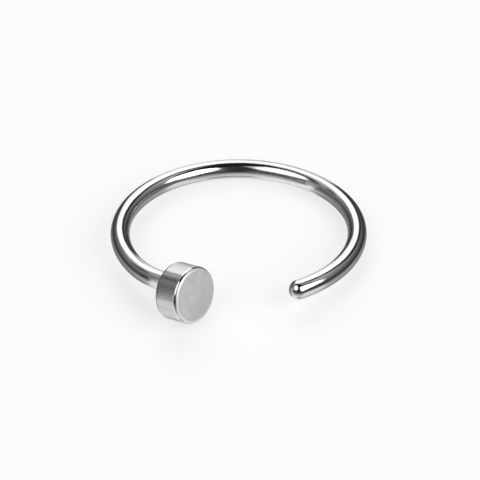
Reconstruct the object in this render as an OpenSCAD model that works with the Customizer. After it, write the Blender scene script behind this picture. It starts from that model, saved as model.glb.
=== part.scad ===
// Open nose hoop of round titanium wire with a flat disc head, lying on a table.
// The hoop is first drawn flat about its own centre, then tipped until the disc's lower edge
// and the wire opposite both touch the table, which is where the real one comes to rest.
// Millimetres, +Z up, origin on the table under the middle of the part.

/* [Wire] */
// Diameter of the round wire
wire_d = 0.8; // [0.6:0.05:1]
// Clear width inside the hoop
hoop_id = 9; // [8:0.5:12]
// Angle from the front of the hoop to where the wire's free end starts to round, rightwards
end_turn = 29.4; // [25:0.1:40]
// Tip out of the hoop's plane of the wire's last stretch, which rises to the disc
rise_tip = 20; // [0:1:25]

/* [Head] */
// Diameter of the disc
head_d = 2.35; // [2:0.05:3]
// Thickness of the disc
head_t = 1.17; // [0.8:0.01:1.4]
// Radius of the disc's rounded edges
head_edge = 0.15; // [0.05:0.01:0.2]
// Angle from the front of the hoop to the middle of the disc, leftwards
head_turn = 24.6; // [20:0.1:30]
// How far the disc's middle stands outside the wire's centre line
head_out = 0.27; // [0:0.01:0.3]
// How far the disc's middle stands above the plane of the hoop
head_up = 0.15; // [0:0.01:0.2]
// Turn of the disc's face outwards from the run of the wire
head_yaw = 15.5; // [0:0.1:20]
// Tip of the disc's face upwards
head_pitch = 10.4; // [0:0.1:15]

/* [Hidden] */
$fn = 96;

wire_r = wire_d / 2;
hoop_r = hoop_id / 2 + wire_r;
end_angle = 270 + end_turn;
head_angle = 270 - head_turn;
head_r = head_d / 2;

// The wire lies flat for three quarters of a turn. From there to the disc it rises, in an arc
// that keeps the hoop's curve as seen from above
flat_turn = 270;
rise_r = hoop_r * cos(rise_tip);
rise_turn = (head_angle + 360 - end_angle - flat_turn) / cos(rise_tip);

// Middle of the disc, and the direction that its face looks in
head_mid = [(hoop_r + head_out) * cos(head_angle), (hoop_r + head_out) * sin(head_angle), head_up];
head_azimuth = head_angle + 90 - head_yaw;
head_axis = [cos(head_azimuth) * cos(head_pitch), sin(head_azimuth) * cos(head_pitch), sin(head_pitch)];

// The wire's weight is that of an arc from the disc's back to two thirds of the way into the
// round end, and an arc's centre of mass lies at R sin(half angle) / half angle from its centre.
// The rise before the disc is too slight to count here
half_head_angle = head_t / 2 / hoop_r * 180 / PI;
round_end_angle = wire_r / hoop_r * 180 / PI;
arc_from = end_angle - 360 - round_end_angle * 2 / 3;
arc_to = head_angle - half_head_angle;
arc_half = (arc_to - arc_from) / 2;
arc_mid = (arc_to + arc_from) / 2;
wire_volume = PI * wire_r ^ 2 * hoop_r * 2 * arc_half * PI / 180;
wire_centre = hoop_r * sin(arc_half) / (arc_half * PI / 180) * [cos(arc_mid), sin(arc_mid), 0];
head_volume = PI * head_r ^ 2 * head_t;
mass_centre = (wire_volume * wire_centre + head_volume * head_mid) / (wire_volume + head_volume);

function unit(v) = v / norm(v);

// Where the line from p along the table's normal n meets the plane of the hoop
function in_hoop_plane(p, n) = let (q = p - n * p[2] / n[2]) [q[0], q[1]];

// The disc's point that lies lowest when n points up
function head_low(n) =
    let (along = head_axis * n)
    head_mid - sign(along) * (head_t / 2 - head_edge) * head_axis
        - (head_r - head_edge) * unit(n - along * head_axis) - head_edge * n;

// One step towards rest: seen along n, the wire's touching point lies on the line from the
// disc's lowest point through the centre of mass, and both touching points are equally low
function next_up(n) =
    let (
        p = head_low(n),
        from = in_hoop_plane(p, n),
        c = in_hoop_plane(mass_centre, n),
        d = unit(c - from),
        run = sqrt(hoop_r ^ 2 - c * c + (c * d) ^ 2) - c * d,
        u = -unit(c + run * d),
        rise = [u[0] * p[0] + u[1] * p[1] + hoop_r, p[2]],
        t = -asin(wire_r / norm(rise)) - atan2(rise[1], rise[0])
    )
    [sin(t) * u[0], sin(t) * u[1], cos(t)];

function settled(n, steps) = steps == 0 ? n : settled(next_up(n), steps - 1);

// The table's normal in the hoop's own frame, and the turn that brings it upright
up = settled([0, 0, 1], 12);
rest_tilt = acos(up[2]);
rest_hinge = unit([up[1], -up[0], 0]);

// A direction of the table's frame, as the hoop's own frame has it
function in_hoop_frame(d) =
    cos(rest_tilt) * d - sin(rest_tilt) * cross(rest_hinge, d)
        + (1 - cos(rest_tilt)) * (rest_hinge * d) * rest_hinge;

// How far the wire and the disc reach from the hoop's centre along a direction of its frame
function wire_reach(d) = hoop_r * norm([d[0], d[1]]) + wire_r;
function head_reach(d) =
    let (along = head_axis * d)
    head_mid * d + (head_t / 2 - head_edge) * abs(along)
        + (head_r - head_edge) * sqrt(1 - along ^ 2) + head_edge;

// The hoop's centre above the table, with the part's back and front evenly about the origin
rest_height = wire_reach(-up);
back_reach = wire_reach(in_hoop_frame([0, 1, 0]));
front_reach = head_reach(in_hoop_frame([0, -1, 0]));
rest_centre = [0, (front_reach - back_reach) / 2, rest_height];

// Round wire, whose centre line is an arc about the origin
module bent_wire(radius, turn) {
    rotate_extrude(angle = turn) translate([radius, 0]) circle(wire_r);
}

// Half a ball that looks along -Y
module round_end() {
    rotate([90, 0, 0]) rotate_extrude() intersection() {
        circle(wire_r);
        square(wire_r);
    }
}

// The wire from its free end round the back, and from there up to the disc's middle
module wire() {
    rotate(end_angle) {
        translate([hoop_r, 0, 0]) round_end();
        bent_wire(hoop_r, flat_turn);
        rotate(flat_turn) translate([hoop_r, 0, 0]) rotate([0, rise_tip, 0])
            translate([-rise_r, 0, 0]) bent_wire(rise_r, rise_turn);
    }
}

// Half of the disc's outline, from its axis out to a rim whose edges are rounded
module head_outline() {
    for (side = [0, 1]) mirror([0, side]) {
        square([head_r - head_edge, head_t / 2]);
        square([head_r, head_t / 2 - head_edge]);
        translate([head_r - head_edge, head_t / 2 - head_edge]) circle(head_edge);
    }
}

// Disc welded on the wire's other end
module flat_head() {
    translate(head_mid) rotate([0, 90 - head_pitch, head_azimuth]) rotate_extrude() head_outline();
}

// The whole hoop is one welded and polished piece of metal
module nose_hoop() {
    color("silver") translate(rest_centre) rotate(a = rest_tilt, v = rest_hinge) union() {
        wire();
        flat_head();
    }
}

nose_hoop();
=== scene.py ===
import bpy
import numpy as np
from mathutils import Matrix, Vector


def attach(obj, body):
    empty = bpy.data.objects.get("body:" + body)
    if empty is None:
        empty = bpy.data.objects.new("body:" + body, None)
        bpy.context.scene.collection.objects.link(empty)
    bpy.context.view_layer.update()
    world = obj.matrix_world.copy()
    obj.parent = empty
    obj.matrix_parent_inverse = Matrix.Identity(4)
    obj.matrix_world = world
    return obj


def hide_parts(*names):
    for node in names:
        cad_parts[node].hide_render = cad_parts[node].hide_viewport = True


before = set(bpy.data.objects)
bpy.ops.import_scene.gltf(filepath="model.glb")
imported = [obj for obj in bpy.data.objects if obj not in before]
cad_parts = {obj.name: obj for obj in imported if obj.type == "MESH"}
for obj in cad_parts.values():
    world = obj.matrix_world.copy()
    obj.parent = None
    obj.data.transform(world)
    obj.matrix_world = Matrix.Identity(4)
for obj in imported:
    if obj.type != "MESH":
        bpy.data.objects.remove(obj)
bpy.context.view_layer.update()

# An open nose hoop of polished titanium wire with a disc head, as it lies on a pale table.
#
# The hoop's own frame has its centre at the origin, the wire's centre line in the XY plane
# but for the last stretch before the disc, and the mouth towards -Y. The table's frame is the
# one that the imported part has. Lengths are metres in the mesh and in the table's sizes, and
# millimetres in all other sizes below. Angles are degrees.

MM = 0.001

# Sizes of the hoop, as the part has them: wire, then disc
WIRE_R = 0.4
HOOP_R = 4.9
END_TURN = 29.4
FLAT_TURN = 270.0
RISE_TIP = 20.0
HEAD_R = 1.175
HEAD_T = 1.17
HEAD_EDGE = 0.15
HEAD_TURN = 24.6
HEAD_OUT = 0.27
HEAD_UP = 0.15
HEAD_YAW = 15.5
HEAD_PITCH = 10.4
# Radius of the weld between the wire and the disc's back
WELD = 0.05

# Rings of the surface, and points round each ring
ROUND = 128
WIRE_RINGS = 420
CAP_RINGS = 28
EDGE_RINGS = 14
FLAT_RINGS = 16

# The disc's back is looked for along this length of wire before the disc's middle, at this
# many points, and the rest pose is found in REST_STEPS
APPROACH = 1.96
APPROACH_POINTS = 400
REST_STEPS = 12

# Polishing marks: how many lie side by side in a millimetre, how many follow each other along
# a millimetre of the wire, and how tightly they run round the disc
MARKS_PER_MM = 40.0
DRAWN_SHARE = 1.2
TURNED_SHARE = 2.5

# How many ripples, clouds and pits the metal has in a metre, and mottles the table
RIPPLES_PER_M = 900.0
CLOUDS_PER_M = 520.0
PITS_PER_M = 9000.0
MOTTLES_PER_M = 60.0

# The table top: radii of its rings, and points round each
TABLE_RADII = (0.02, 0.06, 0.15, 0.4)
TABLE_ROUND = 96

# The photograph's camera: where the hoop's centre lies in the picture, how large the
# hoop's centre line is there, how far away and how high the camera stands, how much it is
# rolled, its sensor's width, and from where to where it sees, in metres
FRAME_PX = 480
CENTRE_PX = (238.67, 231.24)
HOOP_R_PX = 118.466
CAMERA_DISTANCE = 114.75
CAMERA_RISE = 33.434
CAMERA_ROLL = 0.174
SENSOR = 36.0
CLIP_M = (0.005, 5.0)

# Brightness of what lies past the table, for the camera alone, and of the table's own glow,
# which is that of a light table
BACKDROP = 0.97
TABLE_GLOW = 0.66

# What the metal mirrors where no panel is: a faint light everywhere, walls that grow evenly
# lighter upwards, a lighter ceiling, and a table that grows evenly lighter downwards and
# starts lower at the right
FAINT_LIGHT = 0.035
WALL_LIGHT = 0.5
CEILING_LIGHT = 0.25
MIRRORED_TABLE = 1.2
RIGHT_DROP = 0.08

# The studio as the polished metal sees it: panels about the hoop, the first ones furthest
# behind. Azimuth 0 is the side of the hoop's mouth and 90 is to the right of it, elevation is
# up from the table, lean turns a panel in its own plane, width and height are the angles
# that it spans as seen from the hoop, all in degrees. Roundness 2 makes an oval panel and more
# makes a squarer one, blur is how softly its edge ends, and light is its own brightness.
PANEL_COLUMNS = "azimuth elevation lean width height roundness blur light".split()
PANELS = {
    "pale_table": (178, -46, 0, 62, 50, 2.5, 0.15, 1.1),
    "back_glow": (179, -6, 0, 21, 54, 3.0, 0.08, 1.5),
    "table_right": (120, -40, 0, 40, 40, 2.0, 0.15, 0.55),
    "table_left": (-124, -40, 0, 40, 40, 2.0, 0.15, 0.45),
    "pale_right": (66, -40, 0, 28, 40, 2.0, 0.12, 1.1),
    "pale_left": (-64, -48, 0, 26, 34, 2.0, 0.14, 0.9),
    "own_shadow": (10, -74, 0, 30, 16, 2.0, 0.06, 0.1),
    "dark_front": (1, 32, -20, 31, 78, 3.0, 0.10, 0.045),
    "dark_ceiling": (-10, 84, 0, 100, 40, 3.0, 0.12, 0.012),
    "left_softbox": (-52, 47, -40, 54, 43, 2.0, 0.08, 1.8),
    "right_wing": (72, 35, 0, 20, 33, 2.0, 0.06, 3.3),
    "right_softbox": (49, 33.5, 0, 42, 48, 2.0, 0.06, 3.3),
    "back_frame": (169, 45, -40, 62, 56, 2.4, 0.04, 0.015),
    "back_softbox": (183, 44, -38, 52, 43, 2.4, 0.05, 1.7),
    "back_foot": (-173, 19, 0, 14, 22, 2.5, 0.05, 1.6),
    "spill": (-135, 38, 0, 9, 9, 2.0, 0.02, 0.75),
    "flag": (-118, 35.5, 0, 13, 7, 2.5, 0.02, 0.01),
    "side_mid": (-79, 14, 0, 15, 26, 2.5, 0.02, 0.45),
    "high_strip": (-76, -2, 0, 11, 22, 2.5, 0.03, 0.8),
    "low_left": (-110, -68, 0, 54, 24, 2.0, 0.04, 1.6),
    "low_strip": (-77, -40, 0, 13, 56, 2.5, 0.05, 1.25),
    "low_joint": (-92, -55, 0, 16, 16, 2.0, 0.03, 1.35),
    "dark_gap": (-89, 3, 0, 7, 15, 2.0, 0.02, 0.02),
}

Z = np.array([0.0, 0.0, 1.0])


def unit(v):
    """v at length 1, along its last axis."""
    return v / np.linalg.norm(v, axis=-1, keepdims=True)


def ways(angles):
    """Outward and onward directions of the centre line at these angles, in radians."""
    c, s, level = np.cos(angles), np.sin(angles), np.zeros_like(angles)
    return np.stack([c, s, level], -1), np.stack([-s, c, level], -1)


end_angle = np.radians(END_TURN - 90.0)
head_angle = np.radians(270.0 - HEAD_TURN)
full_turn = head_angle - end_angle
head_azimuth = head_angle + np.radians(90.0 - HEAD_YAW)
pitch = np.radians(HEAD_PITCH)
head_mid = (HOOP_R + HEAD_OUT) * ways(head_angle)[0] + HEAD_UP * Z
head_axis = np.cos(pitch) * ways(head_azimuth)[0] + np.sin(pitch) * Z
across_head = unit(np.cross(head_axis, Z))
up_head = np.cross(across_head, head_axis)


def centre_of_mass():
    """An arc's centre of mass lies at R sin(h) / h from its centre, where h is half its
    angle. The wire's arc runs from two thirds into the round end to the disc's back."""
    start = end_angle - WIRE_R / HOOP_R * 2 / 3
    stop = head_angle - HEAD_T / 2 / HOOP_R
    half = (stop - start) / 2
    wire = HOOP_R * np.sin(half) / half * ways((start + stop) / 2)[0]
    wire_volume = WIRE_R ** 2 * HOOP_R * 2 * half
    head_volume = HEAD_R ** 2 * HEAD_T
    return (wire_volume * wire + head_volume * head_mid) / (wire_volume + head_volume)


def table_normal():
    """The table's normal in the hoop's frame. The hoop touches the table with the disc's
    lowest edge and with the wire at the far end of the line from there through the centre
    of mass. Both touching points are equally low."""
    mass, n = centre_of_mass(), Z
    for _ in range(REST_STEPS):
        along = head_axis @ n
        low = (head_mid - np.sign(along) * (HEAD_T / 2 - HEAD_EDGE) * head_axis
               - (HEAD_R - HEAD_EDGE) * unit(n - along * head_axis) - HEAD_EDGE * n)
        start, c = ((p - n * p[2] / n[2])[:2] for p in (low, mass))
        d = unit(c - start)
        run = np.sqrt(HOOP_R ** 2 - c @ c + (c @ d) ** 2) - c @ d
        u = -unit(c + run * d)
        rise = np.array([u @ low[:2] + HOOP_R, low[2]])
        t = -np.arcsin(WIRE_R / np.linalg.norm(rise)) - np.arctan2(rise[1], rise[0])
        n = np.array([*(np.sin(t) * u), np.cos(t)])
    return n


up = table_normal()
hinge = unit(np.cross(up, Z))
turn = np.array(Matrix.Rotation(np.arccos(up[2]), 3, Vector(hinge)))


def reach_forward():
    """How far the disc reaches from the hoop's centre towards -Y of the table."""
    d = -turn[1]
    along = head_axis @ d
    return (head_mid @ d + (HEAD_T / 2 - HEAD_EDGE) * abs(along)
            + (HEAD_R - HEAD_EDGE) * np.sqrt(1 - along ** 2) + HEAD_EDGE)


reach_back = HOOP_R * np.hypot(*turn[1, :2]) + WIRE_R
hoop_centre = np.array([0.0, (reach_forward() - reach_back) / 2,
                        HOOP_R * np.hypot(*up[:2]) + WIRE_R])


def on_table(points):
    """Points of the hoop's frame, in the table's frame, in metres."""
    return (points @ turn.T + hoop_centre) * MM


# Shape

ring_angles = np.arange(ROUND) * 2 * np.pi / ROUND


def circles(centres, radii, across, upward):
    """Rings: centre + radius (cos t across + sin t upward), for t round the circle."""
    c, s = np.cos(ring_angles)[:, None], np.sin(ring_angles)[:, None]
    spokes = c * across[:, None] + s * upward[:, None]
    return centres[:, None] + np.reshape(radii, (-1, 1, 1)) * spokes


def route(turns):
    """The wire's centre line at these turns from its free end, in radians, with the outward,
    upward and onward directions there. It is an arc of radius R in the hoop's plane. From
    FLAT_TURN on it is an arc of radius R cos(tip), whose plane is tipped about the onward
    direction, so that the wire rises: start + R cos(tip) (sin b onward + (1 - cos b) inward),
    where b is the turn past FLAT_TURN over cos(tip)."""
    tip = np.radians(RISE_TIP)
    flat = np.minimum(turns, np.radians(FLAT_TURN))
    b = ((turns - flat) / np.cos(tip))[..., None]
    outward, onward = ways(end_angle + flat)
    inward = np.sin(tip) * Z - np.cos(tip) * outward
    normal = np.cos(tip) * Z + np.sin(tip) * outward
    centres = HOOP_R * (outward + np.cos(tip) * (np.sin(b) * onward + (1 - np.cos(b)) * inward))
    out = np.sin(b) * onward - np.cos(b) * inward
    return (centres, np.cos(tip) * out + np.sin(tip) * normal,
            np.cos(tip) * normal - np.sin(tip) * out, np.cos(b) * onward + np.sin(b) * inward)


def round_end_rings():
    """Half a ball: circles of radius r sin(a) at r cos(a) beyond the wire's end."""
    a = np.linspace(0, np.pi / 2, CAP_RINGS + 1)[1:-1]
    centres, outward, upward, onward = route(np.zeros_like(a))
    return circles(centres - WIRE_R * np.cos(a)[:, None] * onward, WIRE_R * np.sin(a), outward, upward)


def wire_rings(turns, radii):
    """Circles across the wire's centre line at these turns."""
    centres, outward, upward, _ = route(turns)
    return circles(centres, radii, outward, upward)


def turn_before_head(gap):
    """The turn at which the wire is still this far from the plane of the disc's back."""
    near = np.linspace(full_turn - APPROACH / HOOP_R, full_turn, APPROACH_POINTS)
    ahead = (route(near)[0] - head_mid) @ head_axis
    return np.interp(-HEAD_T / 2 - gap, ahead, near)


def slid(rings, turns, normals):
    """Each ring's points, slid along the wire into the plane through the ring's centre that
    has this normal, so that they stay on the wire."""
    centres, _, _, onward = route(turns)
    off = rings - centres[:, None]
    step = -(off * normals[:, None]).sum(-1) / (onward * normals).sum(-1)[:, None]
    return rings + step[..., None] * onward[:, None]


def weld_rings():
    """The last of the wire, whose rings lean from square across the wire to the plane of
    the disc's back, then a quarter round of radius WELD that runs out into that plane."""
    lean = np.linspace(0, 1, FLAT_RINGS)
    turns = turn_before_head(WELD + (1 - lean) * 2 * WIRE_R)
    normals = unit((1 - lean)[:, None] * route(turns)[3] + lean[:, None] * head_axis)
    leaning = slid(wire_rings(turns, np.full_like(turns, WIRE_R)), turns, normals)
    a = np.linspace(0, np.pi / 2, EDGE_RINGS + 1)[1:]
    turns = turn_before_head(WELD * (1 - np.sin(a)))
    normals = np.broadcast_to(head_axis, (len(a), 3))
    radii = WIRE_R + WELD * (1 - np.cos(a))
    return np.concatenate([leaning, slid(wire_rings(turns, radii), turns, normals)])


def head_rings(stations):
    """Circles about the disc's axis. A station is (height along the axis, radius)."""
    heights, radii = stations.T
    ones = np.ones((len(radii), 1))
    centres = head_mid + heights[:, None] * head_axis
    return circles(centres, radii, ones * across_head, ones * up_head)


def disc_rings(weld_end):
    """The disc: its flat back spreads straight from the weld's last ring, then come the
    rounded back edge, the side, the rounded front edge and the flat face."""
    a = np.linspace(0, np.pi / 2, EDGE_RINGS)
    flat, rim, half = HEAD_R - HEAD_EDGE, HEAD_EDGE, HEAD_T / 2
    edge = np.stack([half - rim + rim * np.sin(a), flat + rim * np.cos(a)], -1)
    level = np.linspace(-1, 1, FLAT_RINGS + 2)[1:-1, None]
    side = np.concatenate([level * (half - rim), np.full_like(level, HEAD_R)], 1)
    shrink = np.linspace(1, 0, FLAT_RINGS + 1)[1:-1, None]
    face = np.concatenate([np.full_like(shrink, half), shrink * flat], 1)
    profile = np.concatenate([edge[::-1] * [-1, 1], side, edge, face])
    rings = head_rings(profile)
    share = np.linspace(0, 1, FLAT_RINGS + 1)[1:-1, None, None]
    back = weld_end + share * (rings[0] - weld_end)
    return np.concatenate([back, rings])


def skin(rings, around):
    """Faces over the pole, which is point 0, and this many rings after it, with this many
    points around each: triangles from the pole to the first ring, then four-sided faces
    between each ring and the next. They look towards the side from which the rings are
    seen to run counterclockwise, and outwards where the rings make a tube."""
    j = np.arange(around)
    k = (j + 1) % around
    cap = np.stack([0 * j, j + 1, k + 1], -1)
    i = np.arange(rings - 1)[:, None] * around + 1
    corners = np.broadcast_arrays(i + j, i + around + j, i + around + k, i + k)
    return cap.tolist() + np.stack(corners, -1).reshape(-1, 4).tolist()


def new_thing(name, points, faces):
    """An object of the scene with this mesh."""
    mesh = bpy.data.meshes.new(name)
    mesh.from_pydata(points.tolist(), [], faces)
    thing = bpy.data.objects.new(name, mesh)
    bpy.context.scene.collection.objects.link(thing)
    return thing


def closed_piece(name, rings, first, last, groups):
    """A closed skin over the rings, from one pole to the other. groups are named values
    for each ring point, kept as attributes, with the poles' own values as first and last."""
    points = np.concatenate([first[None], rings.reshape(-1, 3), last[None]])
    j = np.arange(ROUND)
    last_ring = (len(rings) - 1) * ROUND + 1
    cap = np.stack([0 * j + len(points) - 1, last_ring + (j + 1) % ROUND, last_ring + j], -1)
    thing = new_thing(name, on_table(points), skin(len(rings), ROUND) + cap.tolist())
    mesh = thing.data
    for key, values in groups.items():
        kind, width = ("FLOAT", 1) if np.ndim(values[0]) == 1 else ("FLOAT_VECTOR", 3)
        flat = np.concatenate([np.reshape(v, (-1, width)) for v in values])
        slot = mesh.attributes.new(key, kind, "POINT")
        slot.data.foreach_set("value" if width == 1 else "vector", flat.ravel())
    mesh.polygons.foreach_set("use_smooth", np.ones(len(mesh.polygons), bool))
    mesh.update()
    return thing


def hoop():
    """The whole hoop in one skin: the round end, the wire, the weld and the disc.
    The attribute grain holds pattern coordinates in which one unit is the width of a
    polishing mark: along the wire they run with it, and on the disc they run round it.
    The attribute face is 1 on the disc's flat face, rim is 1 on the inner half of the
    rounded edge about the face, and side is 1 on the disc's round side."""
    span = np.linspace(0, turn_before_head(WELD + 2 * WIRE_R), WIRE_RINGS + 1)[:-1]
    wire = np.concatenate([round_end_rings(), wire_rings(span, np.full_like(span, WIRE_R)),
                           weld_rings()])
    disc = disc_rings(wire[-1])
    rings = np.concatenate([wire, disc])
    centre, _, _, onward = route(np.array(0.0))
    tip = centre - WIRE_R * onward
    middle = head_mid + HEAD_T / 2 * head_axis

    steps = np.linalg.norm(np.diff(rings, axis=0), axis=-1).max(1)
    length = np.concatenate([[0], np.cumsum(steps)])[:, None] * np.ones(ROUND)
    c, s = np.cos(ring_angles), np.sin(ring_angles)
    on_disc = (np.arange(len(rings)) >= len(wire))[:, None]
    along = np.where(on_disc, length * MARKS_PER_MM, length * DRAWN_SHARE)
    turn_scale = np.where(on_disc, TURNED_SHARE, WIRE_R * MARKS_PER_MM)
    grain = np.stack([along, turn_scale * c, turn_scale * s], -1)
    face_start = len(rings) - (FLAT_RINGS - 1)
    edge_start = face_start - EDGE_RINGS
    face, rim, side = np.zeros((3, len(rings), ROUND))
    face[face_start:] = 1
    rim[face_start - EDGE_RINGS // 2:face_start] = 1
    side[edge_start - FLAT_RINGS:edge_start] = 1
    grain_poles = np.array([[0, 0, 0]]), grain[-1, :1] * [1, 0, 0]
    groups = {"grain": (grain_poles[0], grain, grain_poles[1]),
              "face": (np.array([0.0]), face, np.array([1.0])),
              "rim": (np.array([0.0]), rim, np.array([0.0])),
              "side": (np.array([0.0]), side, np.array([0.0]))}
    return closed_piece("titanium_hoop", rings, tip, middle, groups)


# Materials


class Value:
    """A socket that takes part in Python sums: each operator adds one Math node."""

    def __init__(self, nodes, socket):
        self.nodes, self.socket = nodes, socket

    def __add__(self, other):
        return self.nodes.math("ADD", self, other)

    def __sub__(self, other):
        return self.nodes.math("SUBTRACT", self, other)

    def __rsub__(self, other):
        return self.nodes.math("SUBTRACT", other, self)

    def __mul__(self, other):
        return self.nodes.math("MULTIPLY", self, other)

    __radd__, __rmul__ = __add__, __mul__


class Nodes:
    """A node tree that is written as calls."""

    def __init__(self, tree):
        self.tree = tree
        tree.nodes.clear()

    def node(self, kind, settings, *inputs, at=None, out=0, **named):
        """Adds a node and sets its settings, then its first inputs, or those at the places
        in at, then its named inputs. Gives the output at the place out."""
        made = self.tree.nodes.new(kind)
        for key, value in settings.items():
            setattr(made, key, value)
        places = list(zip(at or range(len(inputs)), inputs))
        for place, value in places + [(k.replace("_", " "), v) for k, v in named.items()]:
            socket = made.inputs[place]
            if isinstance(value, Value):
                self.tree.links.new(value.socket, socket)
            else:
                socket.default_value = value
        return Value(self, made.outputs[out])

    def math(self, operation, *values):
        """One Math node, for what the operators don't give."""
        return self.node("ShaderNodeMath", {"operation": operation}, *values)

    def dot(self, vector, direction):
        """The part of a vector along a fixed direction."""
        return self.node("ShaderNodeVectorMath", {"operation": "DOT_PRODUCT"}, vector,
                         tuple(direction), out=1)

    def ramp(self, value, low, high):
        """0 below low, 1 above high, with a soft step between them."""
        return self.node("ShaderNodeMapRange", {"interpolation_type": "SMOOTHSTEP"},
                         value, low, high, 0.0, 1.0)

    def noise(self, vector, scale, detail, roughness):
        """Smooth random values about one half."""
        return self.node("ShaderNodeTexNoise", {}, Vector=vector, Scale=scale, Detail=detail,
                         Roughness=roughness)

    def mix(self, share, first, second):
        """A colour between two colours."""
        return self.node("ShaderNodeMix", {"data_type": "RGBA"}, share, first, second,
                         at=(0, 6, 7), out=2)

    def end(self, kind, shader):
        """The output node, which shows the shader on the surface."""
        output = self.tree.nodes.new(kind)
        self.tree.links.new(shader.socket, output.inputs["Surface"])


def new_material(name):
    """A material and its empty node tree."""
    material = bpy.data.materials.new(name)
    material.use_nodes = True
    return material, Nodes(material.node_tree)


def grey(level, warm=0.0):
    """A grey, whose red is raised and whose blue is lowered by the share warm."""
    return (level * (1 + warm), level, level * (1 - warm), 1.0)


# Tones from the darkest to the lightest cloud or mottle, and plain tones. GRAZING is what the
# metal mirrors where it is seen at a flat angle
POLISH = grey(0.585, -0.012), grey(0.645, -0.006)
# Painted shade: the disc's side is painted darker than the polish, to dim what it mirrors
PAINTED_SHADE_SIDE = grey(0.48), grey(0.56)
# Painted light: the disc's face is painted paler than the polish; the spread between its two tones is
# random cloud
PAINTED_LIGHT_FACE = grey(0.8), grey(0.94)
TABLE_TOP = grey(0.33), grey(0.35)
PIT = grey(0.42)
PAINTED_HIGHLIGHT_LINE = grey(1.0)
# Painted highlight: the white line on the inner half of the edge about the face
GRAZING = grey(0.42)


def titanium():
    """Bare titanium with a mirror polish: cool grey metal, cloudy where it was handled,
    with fine polishing marks, small pits and a slight ripple from bending. The disc's side
    is duller and painted darker, which is painted shade that dims what it mirrors. Its face
    is satin and painted paler, which is painted light, in random cloudy tones. The inner half
    of the edge about the face is satin with a white painted highlight."""
    material, n = new_material("polished_titanium")
    place = n.node("ShaderNodeTexCoord", {}, out=3)
    grain = n.node("ShaderNodeAttribute", {"attribute_name": "grain"}, out=1)
    face = n.node("ShaderNodeAttribute", {"attribute_name": "face"}, out=2)
    rim = n.node("ShaderNodeAttribute", {"attribute_name": "rim"}, out=2)
    side = n.node("ShaderNodeAttribute", {"attribute_name": "side"}, out=2)
    marks = n.noise(grain, 1.0, 3.0, 0.6)
    ripple = n.noise(place, RIPPLES_PER_M, 2.0, 0.4)
    cloud = n.noise(place, CLOUDS_PER_M, 4.0, 0.6)
    pits = n.ramp(n.noise(place, PITS_PER_M, 1.0, 0.5), 0.72, 0.8)

    colour = n.mix(cloud, *POLISH)
    colour = n.mix(pits * 0.35, colour, PIT)
    # Painted shade: the disc's side is painted darker
    colour = n.mix(side, colour, n.mix(cloud, *PAINTED_SHADE_SIDE))
    # Painted highlight: the inner half of the edge about the face is painted white
    colour = n.mix(rim, colour, PAINTED_HIGHLIGHT_LINE)
    # Painted light: the face is painted paler, in random cloudy tones
    colour = n.mix(face, colour, n.mix(n.ramp(cloud, 0.35, 0.65), *PAINTED_LIGHT_FACE))
    roughness = 0.07 + 0.04 * cloud + 0.03 * marks + 0.6 * face + 0.48 * rim + 0.05 * side
    height = marks * (0.9 + 0.8 * side) + 0.9 * ripple + pits * -0.5
    bump = n.node("ShaderNodeBump", {}, Strength=0.05, Distance=0.00004, Height=height)
    shader = n.node("ShaderNodeBsdfPrincipled", {}, Base_Color=colour, Metallic=1.0,
                    Roughness=roughness, Normal=bump, Specular_Tint=GRAZING)
    n.end("ShaderNodeOutputMaterial", shader)
    return material


def table_top():
    """Smooth pale light table that glows by itself, with the faintest mottling."""
    material, n = new_material("pale_table")
    place = n.node("ShaderNodeTexCoord", {}, out=3)
    mottle = n.noise(place, MOTTLES_PER_M, 4.0, 0.6)
    shader = n.node("ShaderNodeBsdfPrincipled", {}, Emission_Color=grey(1.0),
                    Base_Color=n.mix(mottle, *TABLE_TOP), Roughness=0.7,
                    Emission_Strength=TABLE_GLOW)
    n.end("ShaderNodeOutputMaterial", shader)
    return material


def floor():
    """A round table top: circles about the origin at growing radii. The metal doesn't
    mirror it, because the studio has a table of its own for that."""
    spokes = ways(np.arange(TABLE_ROUND) * 2 * np.pi / TABLE_ROUND)[0]
    rings = np.reshape(TABLE_RADII, (-1, 1, 1)) * spokes
    points = np.concatenate([np.zeros((1, 3)), rings.reshape(-1, 3)])
    thing = new_thing("table_top", points, skin(len(TABLE_RADII), TABLE_ROUND))
    thing.data.materials.append(table_top())
    thing.visible_glossy = False


# Studio

rise, roll = np.radians(CAMERA_RISE), np.radians(CAMERA_ROLL)
level_right = np.array([1.0, 0.0, 0.0])
steep_up = np.array([0.0, np.sin(rise), np.cos(rise)])
backward = np.array([0.0, -np.cos(rise), np.sin(rise)])
# Right, up and backward directions of the camera, as rows, in the table's frame
camera_axes = np.stack([np.cos(roll) * level_right - np.sin(roll) * steep_up,
                        np.sin(roll) * level_right + np.cos(roll) * steep_up,
                        backward]) @ turn.T


def camera():
    """Stands back along its own backward axis from the hoop's centre, moved sideways and
    up so that the centre falls on its pixel, with the focal length that gives the hoop its
    size in the picture."""
    mm_per_px = HOOP_R / HOOP_R_PX
    aside = (FRAME_PX / 2 - CENTRE_PX[0]) * mm_per_px
    below = (FRAME_PX / 2 - CENTRE_PX[1]) * mm_per_px
    right, upward, back = camera_axes
    data = bpy.data.cameras.new("camera")
    data.sensor_width = SENSOR
    data.lens = SENSOR * HOOP_R_PX * CAMERA_DISTANCE / HOOP_R / FRAME_PX
    data.clip_start, data.clip_end = CLIP_M
    thing = bpy.data.objects.new("camera", data)
    place = hoop_centre + CAMERA_DISTANCE * back + aside * right - below * upward
    thing.matrix_world = Matrix.Translation(Vector(place * MM)) @ Matrix(camera_axes.T).to_4x4()
    bpy.context.scene.collection.objects.link(thing)
    bpy.context.scene.camera = thing


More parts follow.
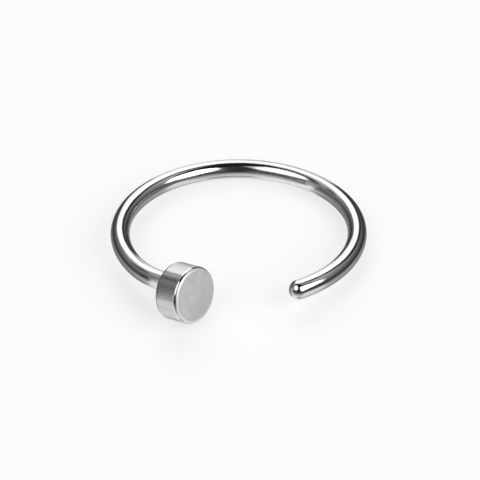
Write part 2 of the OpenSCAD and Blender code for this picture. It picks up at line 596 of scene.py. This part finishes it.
def panel_share(n, look, panel):
    """1 where a direction meets the panel and 0 off it. With z the part of the direction
    towards the panel's middle, and x and y its parts along the panel over the tangents of
    half its width and height, the edge is where (|x|^k + |y|^k)^(1/k) = z."""
    a, e, lean = np.radians([panel["azimuth"], panel["elevation"], panel["lean"]])
    toward = np.array([np.sin(a) * np.cos(e), -np.cos(a) * np.cos(e), np.sin(e)])
    level = np.array([np.cos(a), np.sin(a), 0.0])
    upright = np.cross(toward, level)
    side = np.cos(lean) * level + np.sin(lean) * upright
    upright = np.cos(lean) * upright - np.sin(lean) * level
    powers = 0.0
    for direction, span in ((side, panel["width"]), (upright, panel["height"])):
        reach = n.dot(look, direction / np.tan(np.radians(span / 2)))
        powers = n.math("POWER", n.math("ABSOLUTE", reach), panel["roundness"]) + powers
    inward = n.dot(look, toward) - n.math("POWER", powers, 1 / panel["roundness"])
    return n.ramp(inward, -panel["blur"], panel["blur"])


def studio():
    """Grey walls that darken evenly downwards to the horizon, a table that grows evenly
    paler from there to right under the hoop and starts lower down at the right, and the
    panels, each over those before it. What the camera itself sees past the table is pale."""
    world = bpy.data.worlds.new("studio")
    world.use_nodes = True
    bpy.context.scene.world = world
    n = Nodes(world.node_tree)
    look = n.node("ShaderNodeTexCoord", {}, out=0)
    height = n.dot(look, (0.0, 0.0, 1.0))
    right = n.ramp(n.dot(look, (1.0, -0.5, 0.0)), -0.6, 0.6)
    wall = WALL_LIGHT * n.math("MAXIMUM", height, 0.0) + CEILING_LIGHT * n.ramp(height, 0.5, 0.9)
    table = MIRRORED_TABLE * n.math("MAXIMUM", -RIGHT_DROP * right - height, 0.0)
    glow = FAINT_LIGHT + wall + table
    for values in PANELS.values():
        panel = dict(zip(PANEL_COLUMNS, values))
        share = panel_share(n, look, panel)
        glow = glow + share * (panel["light"] - glow)
    seen = n.node("ShaderNodeLightPath", {}, out=0)
    strength = glow * (1 - seen) + seen * BACKDROP
    shader = n.node("ShaderNodeBackground", {}, (1.0, 1.0, 1.0, 1.0), strength)
    n.end("ShaderNodeOutputWorld", shader)


camera()
ring = hoop()
ring.data.materials.append(titanium())
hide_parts("nose_hoop")
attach(ring, "root")

floor()
studio()
bpy.context.scene.view_settings.view_transform = "Standard"
